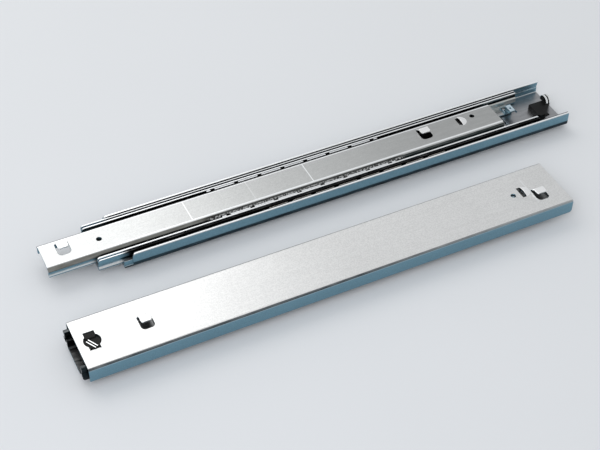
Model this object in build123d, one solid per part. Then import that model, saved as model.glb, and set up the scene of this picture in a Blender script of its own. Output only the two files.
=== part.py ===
from build123d import *
from math import floor, sqrt
import os

# A pair of three-member ball-bearing rails, lying side by side, in millimetres.
# Each rail is drawn in its own frame: X from rear to front, Y up as fitted in the rack,
# Z from the back of the outer member to the mounting face of the inner member.

# Overall sizes of one rail
rail_height = 63.5
rail_depth = 19.1
rail_length = 508.0
middle_shortfall = 6.0

# Outer member
outer_sheet = 1.8
outer_bend_radius = 3.0
outer_lip_drop = 2.5
outer_lip_reach = 1.1
outer_lip_sheet = 1.6
outer_corner_radius = 4.5
outer_front_reach = 2.9
flange_setback = 8.6
stop_tab_height = 9.0
stop_tab_root = 2.0
stop_tab_play = 0.6

# Middle member
middle_sheet = 1.6
web_gap = 0.8
middle_lip_drop = 1.9
middle_waist = 1.6
middle_outer_lip = 0.8
middle_inner_lip = 0.86
middle_groove_width = 2.4
middle_groove_floor = 4.0
middle_groove_lean = 0.16
middle_edge_radius = 0.4
middle_corner_radius = 3.2
middle_end_radius = 2.8
web_notch_radius = 2.0

# Inner member
inner_sheet = 1.8
inner_shoulder_width = 4.9
inner_lip = 1.44
inner_lip_sheet = 1.2
inner_shoulder_drop = 3.4
inner_bend_run = 1.9
inner_bend_drop = 0.9
inner_lip_roll = 0.4

# Balls and their cages
ball_diameter = 5.5
ball_clearance = 0.3
race_depth = 0.6
outer_ball_level = 9.0
inner_ball_level = 12.5
cage_sheet = 0.8
cage_margin = 1.2
cage_lip_reach = 1.5
cage_pocket_clearance = 0.35
cage_lip_notch = 3.6
pocket_pitch = 26.0
pocket_length = 19.0
ball_pitch = 13.0
outer_cage_length = 227.0
inner_cage_length = 195.0
outer_cage_rear = 122.0
inner_cage_rear = 155.0

# Hooks lanced from the webs; a front feature is placed from the front end, a rear one from the rear
hook_width = 10.5
hook_window_width = 13.0
hook_window_height = 17.0
hook_gap = 2.8
hook_ramp = 4.5
hook_end_gap = 5.2
hook_window_radius = 4.0
hook_root_radius = 1.5
hook_bend_offset = 0.6
hook_tip_radius = 2.4
outer_rear_hook = (66.0, 0.5)
outer_front_hook = (22.0, -9.0)
inner_rear_hook = (86.5, -2.6)
inner_front_hook = (22.0, -2.6)

# Holes and raised stop domes beside them
outer_hole_diameter = 5.5
outer_hole_place = (48.3, 0.0)
inner_hole_diameter = 5.5
inner_front_hole_place = (57.3, 0.0)
inner_rear_hole_place = (26.2, -6.5)
outer_dome_place = (36.5, 0.5)
inner_dome_place = (42.5, -4.0)
dome_height = 1.9
dome_span = 15.5
dome_sheet = 0.9
dome_slit = 1.4
dome_slit_inset = 1.6
dome_slit_radius = 1.0

# Window for the catch near the rear end of the outer member
catch_window_rear = 9.0
catch_window_length = 10.4
catch_window_height = 22.6
catch_window_bulge = 8.2
catch_window_bulge_x = 14.5

# Catch at the rear of the outer member
catch_rear = 1.0
catch_front = 25.5
catch_top_level = 8.4
catch_high_gap = 1.3
catch_rear_high = -1.9
catch_flank_end = 17.4
catch_chamfer = 2.5
catch_plug_low = 4.0
catch_plug_gap = 0.2
catch_plug_depth = 1.2
catch_clearance = 1.2

# Spring bands over the rounded back of the catch, and strips of the same spring in its window
clip_sheet = 0.7
clip_core_gap = 0.05
clip_band_width = 2.2
clip_band_gap = 1.6
clip_first_band = 1.6
clip_radius = 6.6
clip_centre_y = -6.0
strip_width = 1.0
strip_length = 11.5
strip_step = 2.6
strip_turn = -60.0
strip_centre = (13.2, -2.4)

# Striker on the middle member
striker_rear = 13.0
striker_box = 9.0
striker_width = 11.0
striker_low_side = -10.0
striker_foot_gap = 2.0
striker_sheet = 1.5
striker_height = 10.5
striker_slope = 3.0
striker_notch_gap = 0.2
striker_lip = 4.5
striker_hole_diameter = 2.4
rivet_diameter = 3.0
rivet_head_diameter = 4.2
rivet_head_height = 1.0
rivet_step = 4.4

# How the two rails lie, and how far each is drawn out
surface_lift = hook_gap + outer_sheet
rear_overhang = 5.0
right_middle_out = 38.0
right_inner_out = 41.0
right_ahead = 80.0
right_beside = 119.5

# Lengths, levels and widths that follow from the sizes above
middle_length = rail_length - middle_shortfall
inner_length = rail_length
lip_top = rail_depth - outer_lip_drop
race_radius = ball_diameter / 2 + ball_clearance
flange_face = rail_height / 2 - outer_sheet
outer_ball_y = flange_face + race_depth - race_radius
level_step = inner_ball_level - outer_ball_level
ball_rows_apart = sqrt((2 * race_radius + middle_waist) ** 2 - level_step ** 2)
inner_ball_y = outer_ball_y - ball_rows_apart
middle_web_floor = outer_sheet + web_gap
middle_web_top = middle_web_floor + middle_sheet
middle_top = rail_depth - middle_lip_drop
middle_outer_y = outer_ball_y - middle_outer_lip
middle_inner_y = inner_ball_y + middle_inner_lip
inner_web_floor = rail_depth - inner_sheet
inner_lip_y = inner_ball_y - inner_lip
inner_lip_rise = sqrt(race_radius ** 2 - inner_lip ** 2)
inner_back_y = inner_ball_y - race_radius - inner_sheet
inner_edge_y = inner_lip_y - inner_shoulder_width
outer_length = rail_length + outer_front_reach
catch_high_side = inner_back_y - catch_high_gap
catch_low_side = striker_low_side + striker_sheet + catch_clearance
striker_floor = middle_web_top
striker_top = striker_floor + striker_height
striker_front = striker_rear + striker_box
striker_foot_end = striker_foot_gap - middle_inner_y


def block(x0, x1, y0, y1, z0, z1):
    """A box between two corners."""
    return Pos((x0 + x1) / 2, (y0 + y1) / 2, (z0 + z1) / 2) * Box(x1 - x0, y1 - y0, z1 - z0)


def patch(y0, y1, z0, z1):
    """A rectangle of a cross-section between two corners."""
    return Pos((y0 + y1) / 2, (z0 + z1) / 2) * Rectangle(y1 - y0, z1 - z0)


def both_sides(half):
    """A half section together with its mirror image."""
    return half + mirror(half, about=Plane.YZ)


def along(section, length):
    """A cross-section drawn out along the rail."""
    return extrude(Plane.YZ * section, length)


def disc(y, z, radius):
    return Pos(y, z) * Circle(radius)


def outer_section():
    """C section with rounded web corners, in-turned lips and a coined race in each flange."""
    half = rail_height / 2
    shell = patch(-half, half, 0, lip_top)
    web_corners = shell.vertices().sort_by(Axis.Y)[:2]
    shell = fillet(web_corners, outer_bend_radius)
    lip_corners = shell.vertices().sort_by(Axis.Y)[-2:]
    shell = fillet(lip_corners, outer_lip_sheet * 0.9)
    cavity = patch(-flange_face, flange_face, outer_sheet, lip_top - outer_lip_sheet)
    cavity = fillet(cavity.vertices(), outer_bend_radius - outer_sheet)
    mouth = flange_face - outer_lip_reach
    shell -= cavity
    shell -= patch(-mouth, mouth, lip_top / 2, lip_top + 1)
    return shell - both_sides(disc(outer_ball_y, outer_ball_level, race_radius))


def middle_section():
    """Web with two flanges that carry a race on each face and a folded groove along the top."""
    flange = patch(middle_inner_y, middle_outer_y, middle_web_floor, middle_top)
    outside = flange.vertices().group_by(Axis.X)[-1].sort_by(Axis.Y)[:1]
    flange = fillet(outside, middle_corner_radius)
    flange -= disc(outer_ball_y, outer_ball_level, race_radius)
    flange -= disc(inner_ball_y, inner_ball_level, race_radius)
    centre = (middle_inner_y + middle_outer_y) / 2
    apex = (centre + (outer_ball_y - centre) * middle_groove_lean, middle_top - middle_groove_floor)
    left = (centre - middle_groove_width / 2, middle_top + 0.1)
    right = (centre + middle_groove_width / 2, middle_top + 0.1)
    flange -= make_face(Polyline(left, apex, right, close=True))
    tips = flange.vertices().group_by(Axis.Y)[-1]
    flange = fillet(tips, middle_edge_radius)
    half = middle_inner_y + middle_sheet / 2
    web = patch(-half, half, middle_web_floor, middle_web_top)
    return both_sides(flange) + web


def inner_section():
    """Shallow channel whose flanges turn out above and below an outward race."""
    edge = inner_edge_y
    back = inner_back_y
    lip_high = inner_ball_level + inner_lip_rise
    lip_low = inner_ball_level - inner_lip_rise
    foot = lip_low - inner_lip_sheet
    outline = [
        (0, rail_depth),
        (edge, rail_depth),
        (edge + inner_bend_run, rail_depth - inner_bend_drop),
        (inner_lip_y, lip_high + inner_lip_roll),
        (inner_lip_y, foot),
        (back, foot),
        (back, rail_depth - inner_shoulder_drop - inner_sheet / 2),
        (edge - inner_lip_roll, inner_web_floor),
        (0, inner_web_floor),
    ]
    half = make_face(Polyline(*outline, close=True))
    half -= disc(inner_ball_y, inner_ball_level, race_radius)
    return both_sides(half)


def hook_solid(face, sheet, width):
    """A tongue that ramps up from the web and then runs parallel to it, free end towards -Y.

    It is drawn with the web's outer face at Z = face, rising towards +Z.
    """
    top = hook_window_height / 2
    free_end = -top + hook_end_gap
    inside = face - sheet
    raised = face + hook_gap
    profile = Polyline(
        (top + sheet, inside),
        (top, inside),
        (top - hook_ramp, raised),
        (free_end, raised),
        (free_end, raised + sheet),
        (top - hook_ramp + hook_bend_offset, raised + sheet),
        (top + hook_bend_offset, face),
        (top + sheet, face),
        close=True,
    )
    tongue = extrude(Plane.YZ * make_face(profile), width / 2, both=True)
    corners = tongue.edges().filter_by(Axis.Z).group_by(Axis.Y)[0]
    return fillet(corners, hook_tip_radius)


def hook_window(face, sheet):
    """The hole that the tongue was lanced from, with wide corners in front of its free end."""
    hole = Box(hook_window_width, hook_window_height, 3 * sheet)
    hole = fillet(hole.edges().filter_by(Axis.Z).group_by(Axis.Y)[0], hook_window_radius)
    hole = fillet(hole.edges().filter_by(Axis.Z).group_by(Axis.Y)[-1], hook_root_radius)
    return Pos(0, 0, face - sheet / 2) * hole


def dome_solid(face):
    """Half of a round cap pushed out of the web as a stop, open towards -X."""
    span_radius = dome_span / 2
    radius = (span_radius ** 2 + dome_height ** 2) / (2 * dome_height)
    centre = Pos(0, 0, dome_height - radius)
    shell = centre * Sphere(radius) - centre * Sphere(radius - dome_sheet)
    keep = block(0, dome_span, -dome_span, dome_span, 0, dome_height + 1)
    return Pos(0, 0, face) * (shell & keep)


def dome_window(face, sheet):
    """Slit in the web beneath the dome's mouth."""
    depth = dome_slit + dome_slit_inset
    half = dome_span / 2 - dome_slit_inset
    slit = block(-dome_slit, depth, -half, half, -2 * sheet, sheet / 8)
    slit = fillet(slit.edges().filter_by(Axis.Z), dome_slit_radius)
    return Pos(0, 0, face) * slit


def from_front(place, length):
    """The place of a feature that is given from the front end of a member."""
    return (length - place[0], place[1])


def flipped(shape):
    """Turned over about the rail's length, for features raised from the back face."""
    return mirror(shape, about=Plane.XY)


def outer_member():
    body = along(outer_section(), outer_length)
    half = rail_height / 2
    upper_end = outer_length - flange_setback
    body -= flange_end_cutter(outer_length, -half - 1, 0)
    body -= flange_end_cutter(upper_end, 0, half + 1)
    # hooks, hole and dome are raised from the back face, which is Z = 0
    for place_x, place_y in (outer_rear_hook, from_front(outer_front_hook, rail_length)):
        window = flipped(hook_window(0, outer_sheet))
        tongue = flipped(hook_solid(0, outer_sheet, hook_width))
        body -= Pos(place_x, place_y, 0) * window
        body += Pos(place_x, place_y, 0) * tongue
    hole_at = from_front(outer_hole_place, rail_length)
    body -= Pos(*hole_at, 0) * Cylinder(outer_hole_diameter / 2, 4 * outer_sheet)
    dome_at = from_front(outer_dome_place, rail_length)
    body -= Pos(*dome_at, 0) * flipped(dome_window(0, outer_sheet))
    body += Pos(*dome_at, 0) * flipped(dome_solid(0))
    body -= catch_window()
    # the cut end of the upper flange is bent in as a stop for the cage
    tab_rear = upper_end - stop_tab_root
    tab_low = middle_outer_y + stop_tab_play
    tab_high = flange_face + outer_sheet / 6
    return body + block(tab_rear, outer_length, tab_low, tab_high, outer_sheet / 2, stop_tab_height)


def flange_end_cutter(end_x, low_y, high_y):
    """What goes beyond the end of one flange, which has its free corner rounded off."""
    radius = outer_corner_radius
    past = end_x + 2 * flange_setback
    beyond = block(end_x, past, low_y, high_y, outer_bend_radius, lip_top + 1)
    return beyond + corner_cutter(end_x - radius, 1, lip_top, radius, low_y, high_y)


def corner_cutter(centre_x, way, top, radius, low_y, high_y):
    """What a rounded free corner takes off a flange; way is 1 at a front end and -1 at a rear one."""
    past = centre_x + way * (radius + 1)
    corner = block(min(centre_x, past), max(centre_x, past), low_y, high_y, top - radius, top + 1)
    return corner - Pos(centre_x, 0, top - radius) * Rot(90, 0, 0) * Cylinder(radius, rail_height + 4)


def catch_window():
    """Rectangle with a round bulge, cut through the web for the catch to snap into."""
    half = catch_window_height / 2
    front = catch_window_rear + catch_window_length
    slot = block(catch_window_rear, front, -half, half, -outer_sheet, 2 * outer_sheet)
    bulge = Pos(catch_window_bulge_x, 0, 0) * Cylinder(catch_window_bulge, 4 * outer_sheet)
    return slot + bulge


def middle_member():
    """Drawn with its rear end at X = 0, its web cut back there to pass the catch."""
    body = along(middle_section(), middle_length)
    reach = catch_front + rear_overhang + catch_clearance
    low = striker_low_side + striker_sheet + striker_notch_gap
    high = catch_high_side + catch_clearance
    floor_z = middle_web_floor - 1
    top_z = middle_web_top + 1
    notch = block(-1, reach, low, high, floor_z, top_z)
    body -= fillet(notch.edges().filter_by(Axis.Z).group_by(Axis.X)[-1], web_notch_radius)
    body -= block(-1, striker_rear - 0.1, -middle_inner_y, middle_inner_y, floor_z, top_z)
    radius = middle_end_radius
    half = rail_height / 2
    body -= corner_cutter(radius, -1, middle_top, radius, -half, half)
    body -= corner_cutter(middle_length - radius, 1, middle_top, radius, -half, half)
    for place_x in rivet_places():
        hole = Cylinder(rivet_diameter / 2, 4 * middle_sheet)
        body -= Pos(place_x, rivet_y(), middle_web_floor) * hole
    return body


def rivet_y():
    return (striker_low_side + striker_foot_end) / 2


def rivet_places():
    middle = striker_rear + striker_box / 2
    return (middle - rivet_step / 2, middle + rivet_step / 2)


def inner_member():
    """Drawn with its rear end at X = 0."""
    body = along(inner_section(), inner_length)
    for place_x, place_y in (inner_rear_hook, from_front(inner_front_hook, inner_length)):
        turn = Pos(place_x, place_y, 0) * Rot(0, 0, 180)
        body -= turn * hook_window(rail_depth, inner_sheet)
        body += turn * hook_solid(rail_depth, inner_sheet, hook_width)
    front_hole_at = from_front(inner_front_hole_place, inner_length)
    for place_x, place_y in (front_hole_at, inner_rear_hole_place):
        body -= Pos(place_x, place_y, rail_depth) * Cylinder(inner_hole_diameter / 2, 4 * inner_sheet)
    turn = Pos(*inner_dome_place, 0) * Rot(0, 0, 180)
    body -= turn * dome_window(rail_depth, inner_sheet)
    body += turn * dome_solid(rail_depth)
    return body


def pocket_starts(length):
    """Rear edges of a cage's pockets, centred along the cage."""
    count = floor((length - 2 * cage_margin + pocket_pitch - pocket_length) / pocket_pitch)
    used = (count - 1) * pocket_pitch + pocket_length
    return [(length - used) / 2 + i * pocket_pitch for i in range(count)]


def cage(length, ball_y, ball_level, lip_way):
    """Strip that holds one row of balls, with a lip along its top edge.

    lip_way is 1 where the lip leans outward and -1 where it leans inward.
    """
    near = ball_y - cage_sheet / 2
    far = ball_y + cage_sheet / 2
    pocket_half = ball_diameter / 2 + cage_pocket_clearance
    low = ball_level - pocket_half - cage_margin
    high = ball_level + pocket_half + cage_margin
    section = patch(near, far, low, high)
    lip_end = ball_y + lip_way * (cage_lip_reach - cage_sheet / 2)
    section += patch(min(near, lip_end), max(far, lip_end), high - cage_sheet, high)
    strip = along(section, length)
    for start in pocket_starts(length):
        strip -= block(
            start, start + pocket_length, near - 1, far + 1, ball_level - pocket_half, ball_level + pocket_half
        )
        notch_start = start + pocket_length + (pocket_pitch - pocket_length - cage_lip_notch) / 2
        low_y, high_y = (far, lip_end + 1) if lip_way > 0 else (lip_end - 1, near)
        if notch_start + cage_lip_notch < length:
            strip -= block(notch_start, notch_start + cage_lip_notch, low_y, high_y, high - 2, high + 1)
    return strip


def ball_solid():
    """A ball drawn with 26 flats, so that the many balls stay light."""
    flat_to_flat = ball_diameter * 0.92
    edge = flat_to_flat / (1 + sqrt(2))
    cube = Box(flat_to_flat, flat_to_flat, flat_to_flat)
    return chamfer(cube.edges(), (flat_to_flat - edge) / 2)


def ball_row(length, ball_y, ball_level):
    """Two balls in each pocket of a cage."""
    ball = ball_solid()
    inset = (pocket_length - ball_pitch) / 2
    balls = []
    for start in pocket_starts(length):
        for step in (0, ball_pitch):
            balls.append(Pos(start + inset + step, ball_y, ball_level) * ball)
    return balls


def catch_body():
    """Low elastomer block that the striker passes over, with a rounded back for the spring bands."""
    low = catch_low_side
    high = catch_high_side
    outline = Polyline(
        (catch_rear, low + catch_chamfer),
        (catch_rear, catch_rear_high),
        (catch_flank_end, high),
        (catch_front - catch_chamfer, high),
        (catch_front, high - catch_chamfer),
        (catch_front, low),
        (catch_rear + catch_chamfer, low),
        close=True,
    )
    slab = extrude(make_face(outline), catch_top_level - outer_sheet)
    slab = Pos(0, 0, outer_sheet) * slab
    core_front = clip_first_band + 2 * clip_band_width + clip_band_gap + catch_plug_gap
    core = Rot(0, 90, 0) * Cylinder(clip_radius - clip_sheet - clip_core_gap, core_front - catch_rear)
    core = Pos((core_front + catch_rear) / 2, clip_centre_y, catch_top_level) * core
    half = rail_height / 2
    core &= block(catch_rear, core_front, -half, half, catch_top_level - 1, 2 * rail_depth)
    plug = block(
        catch_window_rear + catch_plug_gap,
        catch_window_rear + catch_window_length - catch_plug_gap,
        catch_plug_low,
        catch_window_height / 2 - catch_plug_gap,
        outer_sheet - catch_plug_depth,
        outer_sheet + 1,
    )
    return slab + core + plug


def catch_clip():
    """Two spring bands over the back of the catch, and two strips across its window."""
    solids = []
    for i in range(2):
        start = clip_first_band + i * (clip_band_width + clip_band_gap)
        ring = Cylinder(clip_radius, clip_band_width) - Cylinder(clip_radius - clip_sheet, clip_band_width + 1)
        ring = Rot(0, 90, 0) * ring
        side = 2 * clip_radius
        ring &= block(-side, side, -side, side, clip_core_gap, side)
        solids.append(Pos(start + clip_band_width / 2, clip_centre_y, catch_top_level) * ring)
    for i in range(2):
        strip = Box(strip_length, strip_width, clip_sheet)
        turned = Rot(0, 0, strip_turn) * Pos(0, (i - 0.5) * strip_step, 0) * strip
        solids.append(Pos(*strip_centre, outer_sheet - clip_sheet / 2) * turned)
    return solids


def striker():
    """Folded arch that passes over the catch, on a foot riveted to the middle member's web."""
    rear = striker_rear
    front = striker_front
    top = striker_top
    sheet = striker_sheet
    lip_end = top - striker_lip
    arch = Polyline(
        (rear, lip_end),
        (rear, top - striker_slope),
        (rear + striker_slope, top),
        (front, top),
        (front, lip_end),
        (front - sheet, lip_end),
        (front - sheet, top - sheet),
        (rear + striker_slope + sheet * 0.4, top - sheet),
        (rear + sheet, top - striker_slope - sheet * 0.4),
        (rear + sheet, lip_end),
        close=True,
    )
    wall = Polyline(
        (rear, striker_floor),
        (rear, top - striker_slope),
        (rear + striker_slope, top),
        (front, top),
        (front, striker_floor),
        close=True,
    )
    low = striker_low_side
    body = Pos(0, low + striker_width, 0) * extrude(Plane.XZ * make_face(arch), striker_width)
    body += Pos(0, low + sheet, 0) * extrude(Plane.XZ * make_face(wall), sheet)
    body += block(rear, front, striker_foot_end, low + sheet, striker_floor, striker_floor + sheet)
    hole_x = rear + striker_slope + (striker_box - striker_slope) / 2
    body -= Pos(hole_x, low + striker_width / 2, top) * Cylinder(striker_hole_diameter / 2, 3 * sheet)
    for place_x in rivet_places():
        body -= Pos(place_x, rivet_y(), striker_floor) * Cylinder(rivet_diameter / 2, 4 * sheet)
    return body


def striker_rivets():
    """Two rivets through the striker's foot and the web."""
    rivets = []
    head_floor = striker_floor + striker_sheet
    shank = head_floor - middle_web_floor
    for place_x in rivet_places():
        stem = Pos(place_x, rivet_y(), middle_web_floor + shank / 2) * Cylinder(rivet_diameter / 2, shank)
        head = Cylinder(rivet_head_diameter / 2, rivet_head_height)
        rivets.append(stem + Pos(place_x, rivet_y(), head_floor + rivet_head_height / 2) * head)
    return rivets


def shifted(shapes, distance):
    """Moved forward along the rail; shapes is one shape or a list."""
    if isinstance(shapes, list):
        return [Pos(distance, 0, 0) * shape for shape in shapes]
    return [Pos(distance, 0, 0) * shapes]


def mirrored(shapes):
    return [mirror(shape, about=Plane.XZ) for shape in shapes]


def rail(middle_out, inner_out):
    """All pieces of one rail, by name, drawn out by the given distances."""
    middle_rear = middle_out - rear_overhang
    inner_rear = middle_rear + inner_out
    pieces = {
        "outer_member": shifted(outer_member(), 0),
        "catch_body": shifted(catch_body(), 0),
        "catch_clip": shifted(catch_clip(), 0),
        "middle_member": shifted(middle_member(), middle_rear),
        "striker": shifted(striker(), middle_rear),
        "striker_rivets": shifted(striker_rivets(), middle_rear),
        "inner_member": shifted(inner_member(), inner_rear),
    }
    outer_at = outer_cage_rear + middle_out / 2
    inner_at = middle_rear + inner_cage_rear + inner_out / 2
    outer_cage = shifted(cage(outer_cage_length, outer_ball_y, outer_ball_level, 1), outer_at)
    inner_cage = shifted(cage(inner_cage_length, inner_ball_y, inner_ball_level, -1), inner_at)
    outer_balls = shifted(ball_row(outer_cage_length, outer_ball_y, outer_ball_level), outer_at)
    inner_balls = shifted(ball_row(inner_cage_length, inner_ball_y, inner_ball_level), inner_at)
    pieces["outer_cage_upper"] = outer_cage
    pieces["outer_cage_lower"] = mirrored(outer_cage)
    pieces["outer_balls_upper"] = outer_balls
    pieces["outer_balls_lower"] = mirrored(outer_balls)
    pieces["inner_cage_upper"] = inner_cage
    pieces["inner_cage_lower"] = mirrored(inner_cage)
    pieces["inner_balls_upper"] = inner_balls
    pieces["inner_balls_lower"] = mirrored(inner_balls)
    return pieces


def main():
    os.makedirs("parts", exist_ok=True)
    centre_x = (right_ahead + rail_length - rear_overhang) / 2
    centre_y = right_beside / 2
    for name, shapes in rail(0, 0).items():
        placed = [mirror(shape, about=Plane.XY) for shape in shapes]
        placed = [Pos(-centre_x, -centre_y, surface_lift + rail_depth) * shape for shape in placed]
        export_step(Compound(children=placed) if len(placed) > 1 else placed[0], f"parts/left_{name}.step")
    for name, shapes in rail(right_middle_out, right_inner_out).items():
        turn = Pos(right_ahead + rail_length - centre_x, right_beside - centre_y, surface_lift)
        placed = [turn * Rot(0, 0, 180) * shape for shape in shapes]
        export_step(Compound(children=placed) if len(placed) > 1 else placed[0], f"parts/right_{name}.step")


main()
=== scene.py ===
# %% [markdown]
# # A pair of telescopic server rails
# A server hangs in its rack on two of these. Each rail is three bent steel members that run in each
# other on caged balls. The CAD model has their exact shapes, so this lesson keeps its parts where they
# are, gives every sheet edge its small radius, puts real balls into the cages and makes the finishes.

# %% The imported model
import bmesh
import bpy
import math
from mathutils import Matrix, Vector


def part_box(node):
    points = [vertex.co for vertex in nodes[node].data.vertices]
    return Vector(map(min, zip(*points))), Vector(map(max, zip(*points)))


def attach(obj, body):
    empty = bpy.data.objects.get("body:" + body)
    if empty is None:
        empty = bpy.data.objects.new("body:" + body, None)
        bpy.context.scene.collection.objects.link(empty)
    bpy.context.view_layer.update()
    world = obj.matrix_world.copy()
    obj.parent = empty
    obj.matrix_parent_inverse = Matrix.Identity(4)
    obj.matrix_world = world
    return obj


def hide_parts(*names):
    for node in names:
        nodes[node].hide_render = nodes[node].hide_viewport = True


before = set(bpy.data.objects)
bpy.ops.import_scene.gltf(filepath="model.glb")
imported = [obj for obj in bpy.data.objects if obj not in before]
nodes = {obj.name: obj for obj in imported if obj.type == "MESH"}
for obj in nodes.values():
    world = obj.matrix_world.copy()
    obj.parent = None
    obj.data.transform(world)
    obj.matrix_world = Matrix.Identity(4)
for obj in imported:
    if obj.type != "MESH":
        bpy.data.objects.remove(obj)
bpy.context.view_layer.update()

# %% [markdown]
# ## Millimetres, colours and nodes
# The rails are drawn in millimetres and Blender works in metres. Colours are picked as sRGB hex values,
# as a paint chip would be, while a shader works in linear light, so one function turns them over. A
# material is a net of small nodes, and one short function adds a node with its settings and its links.

# %% Helpers
MM = 0.001
SIDES = ("left", "right")
LEVELS = ("upper", "lower")


def linear(hex_colour):
    """An sRGB hex colour as the linear values a shader socket takes."""
    parts = [int(hex_colour[i:i + 2], 16) / 255 for i in (1, 3, 5)]
    return [c / 12.92 if c <= 0.04045 else ((c + 0.055) / 1.055) ** 2.4 for c in parts] + [1.0]


def put(tree, kind, inputs=(), **settings):
    """Adds one node; inputs gives its sockets a value or a link from another node's output."""
    made = tree.nodes.new(kind)
    for name, value in settings.items():
        setattr(made, name, value)
    for socket, value in dict(inputs).items():
        if isinstance(value, bpy.types.NodeSocket):
            tree.links.new(value, made.inputs[socket])
        else:
            made.inputs[socket].default_value = value
    return made


def per_metre(size_mm):
    """The noise scale at which one feature of the pattern is size_mm wide."""
    return 1.0 / (size_mm * MM)


def started(name, base, metallic, roughness):
    """A new material with its shader set, and the point on the piece in metres."""
    material = bpy.data.materials.new(name)
    material.use_nodes = True
    tree = material.node_tree
    shader = tree.nodes["Principled BSDF"]
    shader.inputs["Base Color"].default_value = linear(base)
    shader.inputs["Metallic"].default_value = metallic
    shader.inputs["Roughness"].default_value = roughness
    point = put(tree, "ShaderNodeTexCoord").outputs["Object"]
    return material, tree, shader, point


# %% [markdown]
# ## Places on a rail
# Some finishes follow the shape: painted shade lies in the races and in a line along a bend. A rail
# is easiest to think of in its own frame: how far from its rear end, how far to either side of its middle
# line, and how deep from the back of the outer member. One Mapping node turns the point on the piece,
# which is in metres in the shared frame, into that frame in millimetres.

# %% Rail frame
LIP_TOP = 16.6         # mm from the outer member's back to the top of its lips


def rail_place(tree, point, side, node):
    """Distance along the member, off the middle line, deep from the back and across it, in mm.

    Off is never negative; across has a sign and grows towards the back of the picture.
    """
    outer_low, outer_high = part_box(f"{side}_outer_member")
    low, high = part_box(node)
    middle_y = (outer_low.y + outer_high.y) / 2
    if side == "left":
        way = (1, 1, -1)
        start = (low.x, middle_y, outer_low.z + LIP_TOP * MM)
    else:
        way = (-1, 1, 1)
        start = (high.x, middle_y, outer_high.z - LIP_TOP * MM)
    scale = [w / MM for w in way]
    moved = put(tree, "ShaderNodeMapping", {
        "Vector": point, "Scale": scale, "Location": [-s * k for s, k in zip(start, scale)]})
    place = put(tree, "ShaderNodeSeparateXYZ", {0: moved.outputs[0]}).outputs
    off = put(tree, "ShaderNodeMath", {0: place["Y"]}, operation="ABSOLUTE").outputs[0]
    return place["X"], off, place["Z"], place["Y"]


def maths(tree, operation, first, second=0.0, third=0.0):
    """The output of one maths node."""
    return put(tree, "ShaderNodeMath", {0: first, 1: second, 2: third}, operation=operation).outputs[0]


def within(tree, value, low, high, soft):
    """1 between low and high, fading to 0 over soft beyond each."""
    rise = put(tree, "ShaderNodeMapRange", {"Value": value, "From Min": low - soft, "From Max": low})
    fall = put(tree, "ShaderNodeMapRange", {"Value": value, "From Min": high, "From Max": high + soft})
    return maths(tree, "SUBTRACT", rise.outputs[0], fall.outputs[0])


# %% [markdown]
# ## Zinc-plated steel strip
# The members are roll-formed from cold-rolled strip and then zinc plated. Zinc is a pale, slightly blue
# metal. The plating is satin, not bright, so it blurs what it reflects, and its fine crystals sparkle a
# little. The rolling leaves faint lines along the strip. All of this is noise in the piece's own
# coordinates, so that it rides with the part when it slides. The flanks are painted darker and bluer than
# the flat faces as painted shade, over the zinc's own slight blue.
# Zones are layers over that: each is a colour, and how far along, off the middle and deep it lies.

# %% Zinc finish
CRYSTAL = 1.1          # mm; real crystals are finer, drawn as coarse as the picture can show
BLUR_PATCH = 1.6       # times the crystal size
ROLL_LINE = 0.8        # mm wide
ROLL_STRETCH = 40.0    # times as long as wide
CLOUD = 55.0           # mm; uneven plating thickness
SMEAR = 2.5            # mm wide; patches in which a layer covers more or less
SMEAR_STRETCH = 6.0    # times as long as wide
ANY = (-1000.0, 1000.0)


def grey(level):
    return [level, level, level, 1.0]


def ramp(tree, factor, low, high, dark, pale):
    """Turns a factor into a colour between dark and pale."""
    made = put(tree, "ShaderNodeValToRGB", {"Fac": factor})
    made.color_ramp.elements[0].position = low
    made.color_ramp.elements[1].position = high
    made.color_ramp.elements[0].color = dark
    made.color_ramp.elements[1].color = pale
    return made.outputs["Color"]


def multiplied(tree, first, second):
    """The product of two colours. Sockets 6 and 7 take the colours of a mix, and 2 gives its result."""
    made = put(tree, "ShaderNodeMix", {0: 1.0, 6: first, 7: second},
               data_type="RGBA", blend_type="MULTIPLY")
    return made.outputs[2]


def mixed(tree, factor, first, second):
    """The first colour where factor is 0, and the second where it is 1."""
    made = put(tree, "ShaderNodeMix", {0: factor, 6: first, 7: second}, data_type="RGBA")
    return made.outputs[2]


def noise(tree, point, size_mm, detail=2.0, stretch=1.0):
    """Noise whose features are size_mm wide and stretch times as long along the rail."""
    scaled = put(tree, "ShaderNodeMapping", {"Vector": point, "Scale": (1.0 / stretch, 1.0, 1.0)})
    made = put(tree, "ShaderNodeTexNoise", {
        "Vector": scaled.outputs[0], "Scale": per_metre(size_mm), "Detail": detail})
    return made.outputs["Fac"]


def zone(colour, strength=1.0, along=ANY, off=ANY, deep=ANY, soft=(3.0, 0.12, 0.12), across=ANY,
         speckle=None):
    """One layer of colour, as zinc_finish() lays it on.

    Along, off, deep and across give its reach, soft says how each of them fades at its ends, and
    speckle is the size of its specks if it lies in specks, all in mm.
    """
    return {"colour": colour, "strength": strength, "reach": (along, off, deep, across),
            "soft": soft + (soft[1],), "speckle": speckle}


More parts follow.
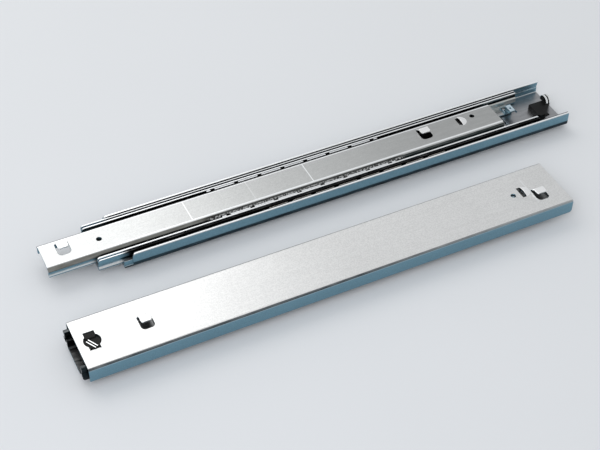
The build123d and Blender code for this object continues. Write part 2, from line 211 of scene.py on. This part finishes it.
def zinc_finish(name, side, node, zones=(), face="#D5D6D7", shaded_flank="#7EA4B5", roughness=0.34):
    """Satin zinc, its flanks painted darker and bluer as shade, with layers of colour over it, as zone()
    gives them.
    """
    material, tree, shader, point = started(name, face, 1.0, roughness)
    normal = put(tree, "ShaderNodeSeparateXYZ", {0: put(tree, "ShaderNodeNewGeometry").outputs["Normal"]})
    upright = maths(tree, "ABSOLUTE", normal.outputs["Z"])
    # painted shade: upright faces, the flanks, take the darker, bluer flank colour, and flat faces the face
    # colour
    colour = ramp(tree, upright, 0.15, 0.85, linear(shaded_flank), linear(face))
    crystals = ramp(tree, noise(tree, point, CRYSTAL), 0.35, 0.65, grey(0.86), grey(1.0))
    rolled = noise(tree, point, ROLL_LINE, stretch=ROLL_STRETCH)
    lines = ramp(tree, rolled, 0.3, 0.7, grey(0.95), grey(1.0))
    clouds = ramp(tree, noise(tree, point, CLOUD, detail=0.0), 0.3, 0.7, grey(0.96), grey(1.0))
    for layer in (crystals, lines, clouds):
        colour = multiplied(tree, colour, layer)
    place = rail_place(tree, point, side, node)
    smear = maths(tree, "MULTIPLY_ADD", noise(tree, point, SMEAR, stretch=SMEAR_STRETCH), 0.5, 0.72)
    for layer in zones:
        here = layer["strength"]
        for value, reach, soft in zip(place, layer["reach"], layer["soft"]):
            if reach is not ANY:
                here = maths(tree, "MULTIPLY", within(tree, value, *reach, soft), here)
        cover = smear
        if layer["speckle"]:
            cover = ramp(tree, noise(tree, point, layer["speckle"]), 0.46, 0.54, grey(0.0), grey(1.0))
        laid = put(tree, "ShaderNodeMath", {0: here, 1: cover}, operation="MULTIPLY", use_clamp=True)
        colour = mixed(tree, laid.outputs[0], colour, linear(layer["colour"]))
    tree.links.new(colour, shader.inputs["Base Color"])
    blur = maths(tree, "MULTIPLY_ADD", noise(tree, point, CRYSTAL * BLUR_PATCH), 0.10, roughness - 0.05)
    tree.links.new(blur, shader.inputs["Roughness"])
    relief = put(tree, "ShaderNodeBump", {
        "Height": noise(tree, point, CRYSTAL), "Strength": 0.12, "Distance": 0.05 * MM})
    tree.links.new(relief.outputs["Normal"], shader.inputs["Normal"])
    return material


# %% [markdown]
# ## Painted shade, painted highlights and marks
# The balls run in slide grease. The gaps between the members, the races and the hollows are painted
# near black as painted shade, and a dark line of painted shade runs along the outer bends. The edges of
# the lips and of the inner web are painted white, and the tops of hooks and domes bright, as painted
# highlights. Thin scuffs cross the inner web where a stop has rubbed, and one line is scribed on the left
# rail's back. Each zone says in mm where its colour lies, and the later ones lie over the earlier ones.

# %% Zones of each member
# near black: painted shade in the gaps, races and hollows, at the mouths of the domes and at the cage
# notches
PAINTED_SHADE = "#121314"
# painted highlight on the rounded tops of the lips and the edges of the inner web
LIP_HIGHLIGHT = "#FAFCFD"
RUBBED = "#F8FAFB"
# painted highlight on the hooks and domes that stand out of the webs
HOOK_AND_DOME_HIGHLIGHT = "#FFFFFF"
REAR = -9.0                    # a little beyond a member's rear end
NEAR_SIDE = (-40.0, 0.0)       # across
# along, where painted shade lies on the middle member
MIDDLE_SHADED = (REAR, 470.0)     # along
MIDDLE_FLANGE = (4.4, 16.4)    # deep
MIDDLE_INNER_RACE = (21.3, 22.9)   # off
MIDDLE_RIM = (15.6, 18.0)      # deep
SHOULDER = (15.9, 19.5)        # off, the sloping edge of the inner member
SHOULDER_DEEP = (15.4, 18.4)
BY_CAGE = (128.0, 340.0)       # along, where the inner cage lies beside the shoulder
UNDER_HOOK = (2.3, 2.8)        # deep, the back of the middle member's web


def scuff(x, half_length, strength=1.0, width=0.9):
    """A pale line across a web, centred on its middle, at x mm from the member's rear end."""
    return zone(RUBBED, strength, (x - width / 2, x + width / 2), (0.0, half_length), soft=(0.2, 0.3, 0.1))


def outer_zones(side):
    shade_start = 33.0 if side == "right" else 0.0
    layers = [
        # painted shade in the race of each flange and along each bend, and painted highlights on hooks,
        # dome and the lips' top edges
        zone(PAINTED_SHADE, along=(shade_start, 499.0), off=(28.4, 31.0), deep=(2.6, 14.8)),
        zone("#343D42", 0.9, along=(REAR, 260.0), off=(29.9, 31.5), deep=(0.25, 1.75),
             soft=(480.0, 0.12, 0.12)),
        zone(HOOK_AND_DOME_HIGHLIGHT, 0.9, deep=(-8.0, -0.3)),
        zone(LIP_HIGHLIGHT, off=(28.6, 31.2), deep=(15.9, 16.8)),
    ]
    if side == "right":
        return layers + [
            # painted shade inside the near lip and along the lower edge of the flank, and a greyer painted
            # shade on the open end of the web
            zone(PAINTED_SHADE, off=(28.0, 29.8), deep=(14.6, 16.8), across=NEAR_SIDE),
            zone("#1C252B", 0.95, off=(31.2, 32.0), deep=(-1.0, 5.4), soft=(1.0, 0.1, 1.4)),
            zone("#85868A", 0.75, along=(REAR, 75.0), off=(-1.0, 29.4), deep=(1.3, 2.6)),
        ]
    return layers + [
        # the scribed line, and painted shadow at the mouth of the dome
        scuff(478.0, 18.0, 0.55),
        zone(PAINTED_SHADE, along=(467.4, 471.4), deep=(-0.25, 0.9), soft=(0.3, 0.1, 0.1), across=(-6.6, 7.6)),
    ]


def middle_zones(side):
    layers = [
        # painted shade in the inner race, pale over its rear 41 mm, and painted shade in the outer race
        zone(PAINTED_SHADE, along=(45.0, 470.0), off=MIDDLE_INNER_RACE, deep=MIDDLE_FLANGE, soft=(8.0, 0.1, 0.1)),
        zone("#C9CCC8", 0.9, along=(REAR, 41.0), off=MIDDLE_INNER_RACE, deep=MIDDLE_FLANGE),
        zone(PAINTED_SHADE, along=MIDDLE_SHADED, off=(22.9, 26.9), deep=MIDDLE_FLANGE, soft=(12.0, 0.1, 0.1)),
        # the tops of the flanges: painted highlight, with painted shade on the outer edge, and more of it
        # on the near side
        zone(LIP_HIGHLIGHT, off=(21.4, 26.4), deep=(16.7, 17.4)),
        zone(PAINTED_SHADE, along=MIDDLE_SHADED, off=(26.0, 27.2), deep=MIDDLE_RIM, soft=(8.0, 0.1, 0.2)),
        zone(PAINTED_SHADE, along=MIDDLE_SHADED, off=(24.9, 27.2), deep=MIDDLE_RIM, soft=(8.0, 0.2, 0.2),
             across=NEAR_SIDE),
        # painted shade, faint, on the web
        zone("#3A3B3B", 0.3, along=(60.0, 470.0), off=(-1.0, 21.3), deep=(3.6, 4.7), soft=(12.0, 0.1, 0.1)),
    ]
    if side == "right":
        return layers
    # painted shade on the back of the web, seen through the two hook windows, and on the rear end
    for x, y in ((71.0, 0.0), (490.0, -9.0)):
        layers.append(zone(PAINTED_SHADE, 0.8, (x - 5.0, x + 5.0), deep=UNDER_HOOK, soft=(7.0, 6.0, 0.1),
                           across=(y - 5.0, y + 5.0)))
    return layers + [zone("#20282B", 0.95, along=(REAR, 6.0), off=(20.0, 27.0), deep=(2.3, 17.5))]


def inner_zones(side):
    layers = [
        # painted shade on the shoulders: grey at the front, dark beside the cage and at the rear, black in
        # the race below
        zone("#66655F", 0.9, along=(340.0, 530.0), off=SHOULDER, deep=SHOULDER_DEEP, soft=(14.0, 0.1, 0.1)),
        zone("#3A3A38", 0.9, along=(128.0, 345.0), off=SHOULDER, deep=SHOULDER_DEEP, soft=(6.0, 0.1, 0.1)),
        zone(PAINTED_SHADE, along=(REAR, 455.0), off=(15.0, 19.6), deep=(5.0, 16.4), soft=(12.0, 0.1, 0.1)),
        zone("#16201F", 0.9, along=(REAR, 124.0), off=(16.6, 19.6), deep=(15.0, 18.0),
             soft=(5.0, 0.1, 0.1)),
        # specks of painted shade and of painted glint beside the cage
        zone("#1B1C1B", 0.65, BY_CAGE, (16.4, 19.5), (15.4, 18.1), (6.0, 0.1, 0.1), speckle=1.3),
        zone("#E9EBEA", 0.45, BY_CAGE, (17.4, 19.5), (15.4, 17.6), (6.0, 0.1, 0.1), speckle=1.9),
        # painted shade inside the rear end, and painted highlights on the edges of the web
        zone("#1C1D1E", 0.9, along=(REAR, 14.0), off=(-1.0, 15.9), deep=(6.0, 17.4), soft=(8.0, 0.1, 0.1)),
        zone(LIP_HIGHLIGHT, 0.9, off=(13.7, 15.4), deep=(18.6, 19.4)),
    ]
    if side == "left":
        return layers
    # painted shade greys the web towards its rear, painted shadow lies at the mouth of the dome, and
    # painted highlights lie on hooks and dome
    layers.insert(0, zone("#A3A4A3", 0.75, along=(REAR, 70.0), soft=(270.0, 0.1, 0.1)))
    layers.append(zone(PAINTED_SHADE, along=(42.8, 45.8), deep=(18.7, 19.4), soft=(0.3, 0.1, 0.1),
                       across=(-1.4, 9.4)))
    layers.append(zone(HOOK_AND_DOME_HIGHLIGHT, 0.9, deep=(19.4, 30.0)))
    rubbed_at = ((358.7, 0.9), (290.0, 0.25), (226.0, 0.9))
    return layers + [scuff(x, 14.0, strength) for x, strength in rubbed_at]


# painted light: each rail's top web takes its own copy of the zinc, lighter on the left outer member and
# darker on the right inner
LIT_AND_SHADED_FACES = {"right_inner_member": "#D8D9D8", "left_outer_member": "#EFEFEE"}
OTHER_FACE = "#DCDDDD"
ZONES = {"outer_member": outer_zones, "middle_member": middle_zones, "inner_member": inner_zones}
member_zinc = {}
for side in SIDES:
    for member, zones in ZONES.items():
        node = f"{side}_{member}"
        face = LIT_AND_SHADED_FACES.get(node, OTHER_FACE)
        member_zinc[node] = zinc_finish(f"zinc_plated_steel_{node}", side, node, zones(side), face)
striker_zinc = {
    side: zinc_finish(f"zinc_plated_steel_{side}_bracket", side, f"{side}_striker",
                      face="#D2E4EE", shaded_flank="#8AB2C4", roughness=0.24)
    for side in SIDES
}
print("zinc finishes made:", len(member_zinc) + len(striker_zinc))

# %% [markdown]
# ## Bright steels
# The balls are ground and polished bearing steel, so they mirror the room. The spring clip is polished
# strip with lines along it from the rolling, and the rivets are bright zinc. The cages are thin zinc
# strip. Their pockets lie at an even pitch, and the strip is painted near black as painted shade at the
# notches between them, so the distance to the nearest notch decides where the strip is black.

# %% Ball, cage, spring and rivet finishes
POCKET_PITCH = 26.0
NOTCH_REACH = 2.2      # mm of grease to each side of a notch
NOTCH_FADE = 0.3
STRIP_LINE = 0.8       # mm wide
STRIP_STRETCH = 12.0   # times as long as wide


def notch_mask(tree, point, side, node):
    """1 at the notches between a cage's pockets, where the strip is painted near black as shade."""
    low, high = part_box(node)
    length = (high.x - low.x) / MM
    count = math.floor(length / POCKET_PITCH)
    notch = length / 2 - (POCKET_PITCH / 2 if count % 2 else 0.0)
    along = rail_place(tree, point, side, node)[0]
    away = maths(tree, "PINGPONG", maths(tree, "SUBTRACT", along, notch), POCKET_PITCH / 2)
    return within(tree, away, -1.0, NOTCH_REACH, NOTCH_FADE)


def bright_finish(name, base, roughness, streak_mm=STRIP_LINE, stretch=STRIP_STRETCH, cage=None):
    """Bright steel with fine streaks; cage gives the side and node of a cage whose notches are painted near
    black as shade.
    """
    material, tree, shader, point = started(name, base, 1.0, roughness)
    streaks = noise(tree, point, streak_mm, stretch=stretch)
    colour = multiplied(tree, ramp(tree, streaks, 0.3, 0.7, grey(0.86), grey(1.0)), linear(base))
    if cage:
        colour = mixed(tree, notch_mask(tree, point, *cage), colour, linear(PAINTED_SHADE))
    tree.links.new(colour, shader.inputs["Base Color"])
    blur = maths(tree, "MULTIPLY_ADD", streaks, 0.08, roughness)
    tree.links.new(blur, shader.inputs["Roughness"])
    return material


ball_steel = bright_finish("bearing_steel_polished", "#DDE0E3", 0.06, 0.8, 1.0)
inner_cage_strip = {
    side: bright_finish(f"cage_strip_zinc_{side}", "#F0F2F4", 0.24, cage=(side, f"{side}_inner_cage_upper"))
    for side in SIDES
}
outer_cage_strip = bright_finish("cage_strip_zinc_warm", "#DDD3C6", 0.24)
# painted highlight: the rim tabs take a whiter copy of the cage zinc
cage_tab_highlight_strip = bright_finish("cage_strip_zinc_painted_highlight", "#FFF9F0", 0.30)
spring_steel = bright_finish("spring_steel_polished", "#F4F6F6", 0.16, 0.4)
rivet_steel = bright_finish("rivet_zinc_bright", "#CDD0D3", 0.22, 0.6, 1.0)

# %% [markdown]
# ## Black elastomer
# The catch is moulded from a black rubber-like plastic. It is near black and a little uneven, with a
# soft sheen that the mould's fine texture breaks up.

# %% Elastomer finish
MOULD_GRAIN = 0.6      # mm
MOULD_CLOUD = 7.0      # mm


def elastomer_finish(name):
    """Near black, satin and finely grained."""
    material, tree, shader, point = started(name, "#050505", 0.0, 0.42)
    shader.inputs["Specular IOR Level"].default_value = 0.2
    skin = noise(tree, point, MOULD_GRAIN)
    colour = ramp(tree, noise(tree, point, MOULD_CLOUD), 0.35, 0.75, linear("#040404"), linear("#0A0A0A"))
    tree.links.new(colour, shader.inputs["Base Color"])
    blur = maths(tree, "MULTIPLY_ADD", skin, 0.2, 0.32)
    tree.links.new(blur, shader.inputs["Roughness"])
    relief = put(tree, "ShaderNodeBump", {"Height": skin, "Strength": 0.25, "Distance": 0.08 * MM})
    tree.links.new(relief.outputs["Normal"], shader.inputs["Normal"])
    return material


elastomer = elastomer_finish("elastomer_black_moulded")

# %% [markdown]
# ## Small radii on sheet edges
# No real sheet edge is a perfect corner, and the thin bright line that an edge shows is what tells the
# eye that it is metal. The CAD meshes come as triangles with hard corners. Weld joins their points, a
# planar dissolve leaves clean faces, a bevel rounds each real corner, and weighted normals keep the flat
# faces flat. As modifiers they leave the CAD part itself as it was.

# %% Edges
WELD_REACH = 0.002     # mm
FLAT_ANGLE = 1.0       # degrees
CORNER_ANGLE = 35.0    # degrees
EDGE_SEGMENTS = 2


def soften(piece, width_mm):
    """Rounds the corners of a CAD part, for the eye only."""
    for face in piece.data.polygons:
        face.use_smooth = True
    weld = piece.modifiers.new("weld", "WELD")
    weld.merge_threshold = WELD_REACH * MM
    flat = piece.modifiers.new("flat", "DECIMATE")
    flat.decimate_type = "DISSOLVE"
    flat.angle_limit = math.radians(FLAT_ANGLE)
    bevel = piece.modifiers.new("edge", "BEVEL")
    bevel.width = width_mm * MM
    bevel.segments = EDGE_SEGMENTS
    bevel.limit_method = "ANGLE"
    bevel.angle_limit = math.radians(CORNER_ANGLE)
    bevel.use_clamp_overlap = False
    weighted = piece.modifiers.new("normals", "WEIGHTED_NORMAL")
    weighted.keep_sharp = True


def finish_node(node, material, width_mm):
    piece = nodes[node]
    soften(piece, width_mm)
    piece.data.materials.clear()
    piece.data.materials.append(material)


THIN_EDGE = 0.12       # mm, on the thin strips
for side in SIDES:
    for member, width_mm in (("outer_member", 0.30), ("middle_member", 0.25), ("inner_member", 0.30)):
        finish_node(f"{side}_{member}", member_zinc[f"{side}_{member}"], width_mm)
    finish_node(f"{side}_striker", striker_zinc[side], 0.25)
    finish_node(f"{side}_striker_rivets", rivet_steel, 0.30)
    finish_node(f"{side}_catch_body", elastomer, 0.50)
    finish_node(f"{side}_catch_clip", spring_steel, THIN_EDGE)
    for level in LEVELS:
        finish_node(f"{side}_outer_cage_{level}", outer_cage_strip, THIN_EDGE)
        finish_node(f"{side}_inner_cage_{level}", inner_cage_strip[side], THIN_EDGE)

# %% [markdown]
# ## The balls
# In the CAD model each ball is a light block with 26 flats. Here every one becomes a true ball of 5.5 mm
# in the same place. One mesh per row keeps the scene light, and the row rides on its cage's body.

# %% Balls
BALL_RADIUS = 2.75
BALL_STEP = 13.0
BALL_SEGMENTS = 24
BALL_RINGS = 14


def ball_row(side, row, level):
    """All the balls of one cage, as one piece in place of the CAD model's."""
    node = f"{side}_{row}_balls_{level}"
    low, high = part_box(node)
    width = high.z - low.z
    count = round((high.x - low.x - width) / (BALL_STEP * MM)) + 1
    mesh = bpy.data.meshes.new(f"{node}_true")
    made = bmesh.new()
    for i in range(count):
        place = Vector((low.x + width / 2 + i * BALL_STEP * MM, (low.y + high.y) / 2, (low.z + high.z) / 2))
        bmesh.ops.create_uvsphere(made, u_segments=BALL_SEGMENTS, v_segments=BALL_RINGS,
                                  radius=BALL_RADIUS * MM, matrix=Matrix.Translation(place))
    for face in made.faces:
        face.smooth = True
    made.to_mesh(mesh)
    made.free()
    piece = bpy.data.objects.new(f"{node}_true", mesh)
    bpy.context.scene.collection.objects.link(piece)
    mesh.materials.append(ball_steel)
    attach(piece, f"{side}_{row}_cages")
    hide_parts(node)
    return count


print("balls:", sum(ball_row(side, row, level)
                    for side in SIDES for row in ("outer", "inner") for level in LEVELS))

# %% [markdown]
# ## Rims of the outer cages
# Each outer cage has a row of thin tabs that stand up between the two members, one tab for each pocket,
# and they show from above as short bright dashes in the dark gap; their strip is painted whiter than the
# cage as painted highlight. A tab is an outline with rounded top corners, drawn once and pushed out to
# its thickness, then set down along the cage at the pocket pitch.

# %% Cage rims
CAGE_SHEET = 0.8
TAB_LENGTH = 21.5
TAB_FOOT = 12.6        # mm deep, inside the top of the cage strip
TAB_TOP = 15.7         # mm deep
TAB_CORNER = 1.2
TAB_CORNER_STEP = 15   # degrees
TAB_SHEET = 0.8
TAB_EDGE = 0.1


def tab_outline():
    """Corner points of one tab, as (along, deep) in mm from its middle."""
    half = TAB_LENGTH / 2
    points = [(-half, TAB_FOOT), (half, TAB_FOOT)]
    for way, start in ((1, 0), (-1, 90)):
        for turn in range(start, start + 91, TAB_CORNER_STEP):
            angle = math.radians(turn)
            points.append((way * (half - TAB_CORNER) + TAB_CORNER * math.cos(angle),
                           TAB_TOP - TAB_CORNER * (1 - math.sin(angle))))
    return points


def cage_rim(side, level):
    """The tabs of one outer cage, as one piece that rides with the cages."""
    node = f"{side}_outer_cage_{level}"
    low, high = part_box(node)
    outer_low, outer_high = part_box(f"{side}_outer_member")
    if side == "right":
        back, way = outer_high.z - LIP_TOP * MM, 1
    else:
        back, way = outer_low.z + LIP_TOP * MM, -1
    # the tabs stand on the side of the cage that faces the middle member
    if (low.y + high.y) < (outer_low.y + outer_high.y):
        web_y = high.y - CAGE_SHEET / 2 * MM
    else:
        web_y = low.y + CAGE_SHEET / 2 * MM
    count = math.floor((high.x - low.x) / (POCKET_PITCH * MM))
    first_x = (low.x + high.x) / 2 - (count - 1) / 2 * POCKET_PITCH * MM
    mesh = bpy.data.meshes.new(f"{node}_rim")
    made = bmesh.new()
    for i in range(count):
        tab_x = first_x + i * POCKET_PITCH * MM
        ring = [made.verts.new((tab_x + along * MM, web_y - TAB_SHEET / 2 * MM, back + way * deep * MM))
                for along, deep in tab_outline()]
        pushed = bmesh.ops.extrude_face_region(made, geom=[made.faces.new(ring)])
        new_points = [part for part in pushed["geom"] if isinstance(part, bmesh.types.BMVert)]
        bmesh.ops.translate(made, verts=new_points, vec=(0.0, TAB_SHEET * MM, 0.0))
    bmesh.ops.recalc_face_normals(made, faces=made.faces)
    made.to_mesh(mesh)
    made.free()
    piece = bpy.data.objects.new(f"{node}_rim", mesh)
    bpy.context.scene.collection.objects.link(piece)
    edge = piece.modifiers.new("edge", "BEVEL")
    edge.width = TAB_EDGE * MM
    edge.segments = EDGE_SEGMENTS
    mesh.materials.append(cage_tab_highlight_strip)
    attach(piece, f"{side}_outer_cages")
    return count


print("rim tabs:", sum(cage_rim(side, level) for side in SIDES for level in LEVELS))

# %% [markdown]
# ## Floor, light and camera
# Metal is only as good as what it mirrors. One large soft box stands behind the rails, where the webs
# throw it back into the lens from their left ends, a smaller one fills in from the front, and the plain
# world lights the rest and is a little darker to the right. The camera's lens and place were found by
# matching the rails' corners with the photograph.

# %% Stage
FLOOR_HALF = 4.0       # metres
FLOOR_CLOUD = 400.0    # mm
WORLD_STRENGTH = 0.92
SENSOR = 36.0          # mm
LENS = 77.52           # mm
CAMERA_AIM = Vector((-0.03332, 0.01574, 0.0))
CAMERA_DISTANCE = 1.2987
AZIMUTH, ELEVATION, ROLL = (math.radians(v) for v in (-26.564, 44.166, 0.849))


def floor_finish():
    """Pale and matt, with hardly any pattern."""
    material, tree, shader, point = started("floor_pale_matt", "#DCDEE0", 0.0, 0.6)
    shade = ramp(tree, noise(tree, point, FLOOR_CLOUD), 0.3, 0.7, linear("#DBDDDF"), linear("#DDDFE1"))
    tree.links.new(shade, shader.inputs["Base Color"])
    return material


corners = [(x * FLOOR_HALF, y * FLOOR_HALF, 0.0) for x, y in ((-1, -1), (1, -1), (1, 1), (-1, 1))]
floor_mesh = bpy.data.meshes.new("floor")
floor_mesh.from_pydata(corners, [], [(0, 1, 2, 3)])
floor = bpy.data.objects.new("floor", floor_mesh)
bpy.context.scene.collection.objects.link(floor)
floor_mesh.materials.append(floor_finish())


def soft_box(name, place, aim, size, watts, colour="#FFFFFF"):
    """A rectangular lamp at place, turned to aim; place, aim and size are in metres."""
    light = bpy.data.lights.new(name, "AREA")
    light.shape = "RECTANGLE"
    light.size, light.size_y = size
    light.energy = watts
    light.color = linear(colour)[:3]
    lamp = bpy.data.objects.new(name, light)
    lamp.location = place
    lamp.rotation_euler = (Vector(aim) - Vector(place)).to_track_quat("-Z", "Y").to_euler()
    bpy.context.scene.collection.objects.link(lamp)


soft_box("key", (-0.35, 1.1, 1.25), (-0.1, 0.0, 0.0), (1.3, 0.9), 5.0)
soft_box("fill", (-0.9, -0.9, 1.1), (0.0, 0.0, 0.0), (0.8, 0.8), 5.0, "#EEF3FF")

world = bpy.data.worlds.new("studio")
bpy.context.scene.world = world
world.use_nodes = True
room = world.node_tree
sky = room.nodes["Background"]
looking = put(room, "ShaderNodeSeparateXYZ", {0: put(room, "ShaderNodeTexCoord").outputs["Generated"]})
across = maths(room, "MULTIPLY_ADD", looking.outputs["X"], 0.5, 0.5)
walls = ramp(room, across, 0.50, 0.80, linear("#F5F6F7"), linear("#DCDEE0"))
room.links.new(walls, sky.inputs["Color"])
sky.inputs["Strength"].default_value = WORLD_STRENGTH

back = Vector((math.sin(AZIMUTH) * math.cos(ELEVATION), -math.cos(AZIMUTH) * math.cos(ELEVATION),
               math.sin(ELEVATION)))
lens = bpy.data.cameras.new("camera")
lens.sensor_width = SENSOR
lens.lens = LENS
lens.clip_start, lens.clip_end = 0.05, 50.0
camera = bpy.data.objects.new("camera", lens)
camera.rotation_mode = "QUATERNION"
camera.location = CAMERA_AIM + back * CAMERA_DISTANCE
camera.rotation_quaternion = ((-back).to_track_quat("-Z", "Y")
                              @ Matrix.Rotation(ROLL, 4, "Z").to_quaternion())
bpy.context.scene.collection.objects.link(camera)
bpy.context.scene.camera = camera
bpy.context.scene.view_settings.view_transform = "Standard"
